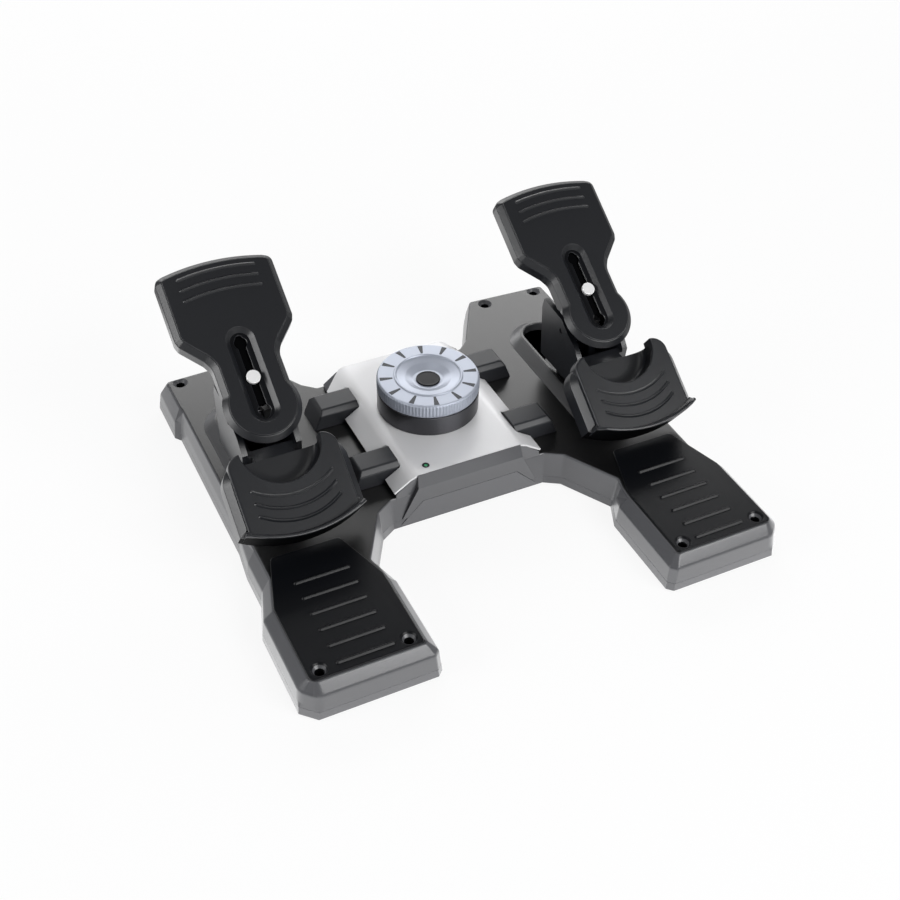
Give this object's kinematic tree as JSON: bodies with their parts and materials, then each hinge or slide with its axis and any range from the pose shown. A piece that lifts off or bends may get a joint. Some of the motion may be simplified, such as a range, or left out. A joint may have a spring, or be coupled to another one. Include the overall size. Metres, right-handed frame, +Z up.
{
  "type": "flight simulator rudder pedals",
  "caption": "Rudder pedal set with linked sliding pedals, hinged toe brakes, adjustable toe plates and a tension dial on a wide base.",
  "frame": {"origin": "on the floor under the middle of the base", "axes": "+X to the user's right, +Y away from the user along the pedals' travel, +Z up"},
  "size_m": [0.443, 0.416, 0.1926],
  "materials": {
    "charcoal": "fine grained moulding",
    "black": "fine grained moulding",
    "silver": "satin",
    "dial": "satin",
    "dark_metal": "brushed",
    "steel": "brushed",
    "brass": "plain",
    "rubber": "matt",
    "lamp": "clear tinted",
    "white": "polished",
    "board": "lacquered"
  },
  "bodies": {
    "base": {"lower_housing": "charcoal", "upper_housing": "charcoal", "heel_pads": "black", "hub_plate": "silver", "front_hoods": "charcoal", "rear_hoods": "charcoal", "knob_collar": "dark_metal", "status_led": "lamp", "circuit_board": "board", "board_screws": "steel", "front_pivot_post": "steel", "rear_pivot_post": "steel", "centring_spring": "steel", "rudder_sensor": "black", "cable_gland": "rubber", "rubber_feet": "rubber", "housing_screws": "steel"},
    "dial": {"tension_dial": "dial", "dial_cap": "black", "tension_shaft": "steel", "friction_pad": "rubber"},
    "front_bar": {"front_link_bar": "steel", "front_bushing": "brass"},
    "rear_bar": {"rear_link_bar": "steel", "rear_bushing": "brass", "sensor_bracket": "steel"},
    "pedal_left": {"carriage_left": "black", "link_pins_left": "steel", "heel_cup_left": "black", "heel_cup_screws_left": "steel", "brake_spring_left": "steel", "brake_sensor_left": "black"},
    "lever_left": {"toe_lever_left": "black", "brake_axle_left": "steel", "clamp_screw_left": "white"},
    "plate_left": {"toe_plate_left": "black"},
    "pedal_right": {"carriage_right": "black", "link_pins_right": "steel", "heel_cup_right": "black", "heel_cup_screws_right": "steel", "brake_spring_right": "steel", "brake_sensor_right": "black"},
    "lever_right": {"toe_lever_right": "black", "brake_axle_right": "steel", "clamp_screw_right": "white"},
    "plate_right": {"toe_plate_right": "black"}
  },
  "joints": [
    {"name": "rudder", "type": "hinge", "parent": "base", "child": "front_bar", "pos_m": [0, -0.003, 0.011], "axis": [0, 0, 1], "range_deg": [-16, 16], "stiffness_Nm_per_rad": 6, "deforming": ["centring_spring"]},
    {"name": "rear_link", "type": "hinge", "parent": "base", "child": "rear_bar", "pos_m": [0, 0.088, 0.011], "axis": [0, 0, 1], "range_deg": [-16, 16]},
    {"name": "tension", "type": "hinge", "parent": "base", "child": "dial", "pos_m": [0, 0.047, 0.08], "axis": [0, 0, 1], "range_deg": [-150, 150]},
    {"name": "pedal_left", "type": "hinge", "parent": "front_bar", "child": "pedal_left", "pos_m": [-0.1614, -0.003, 0.0175], "axis": [0, 0, 1], "range_deg": [-16, 16]},
    {"name": "brake_left", "type": "hinge", "parent": "pedal_left", "child": "lever_left", "pos_m": [-0.1614, 0.045, 0.096], "axis": [1, 0, 0], "range_deg": [-18, 0], "stiffness_Nm_per_rad": 3, "springref_deg": 5.73, "deforming": ["brake_spring_left"]},
    {"name": "reach_left", "type": "slide", "parent": "lever_left", "child": "plate_left", "axis": [0, 0.8499, 0.527], "range_m": [-0.024, 0.024]},
    {"name": "pedal_right", "type": "hinge", "parent": "front_bar", "child": "pedal_right", "pos_m": [0.1614, -0.003, 0.0175], "axis": [0, 0, 1], "range_deg": [-16, 16]},
    {"name": "brake_right", "type": "hinge", "parent": "pedal_right", "child": "lever_right", "pos_m": [0.1614, 0.045, 0.096], "axis": [1, 0, 0], "range_deg": [-18, 0], "stiffness_Nm_per_rad": 3, "springref_deg": 5.73, "deforming": ["brake_spring_right"]},
    {"name": "reach_right", "type": "slide", "parent": "lever_right", "child": "plate_right", "axis": [0, 0.8499, 0.527], "range_m": [-0.024, 0.024]}
  ],
  "couplings": [
    {"joint": "rear_link", "follows": "rudder", "ratio": 1},
    {"joint": "pedal_left", "follows": "rudder", "ratio": -1},
    {"joint": "pedal_right", "follows": "rudder", "ratio": -1}
  ]
}
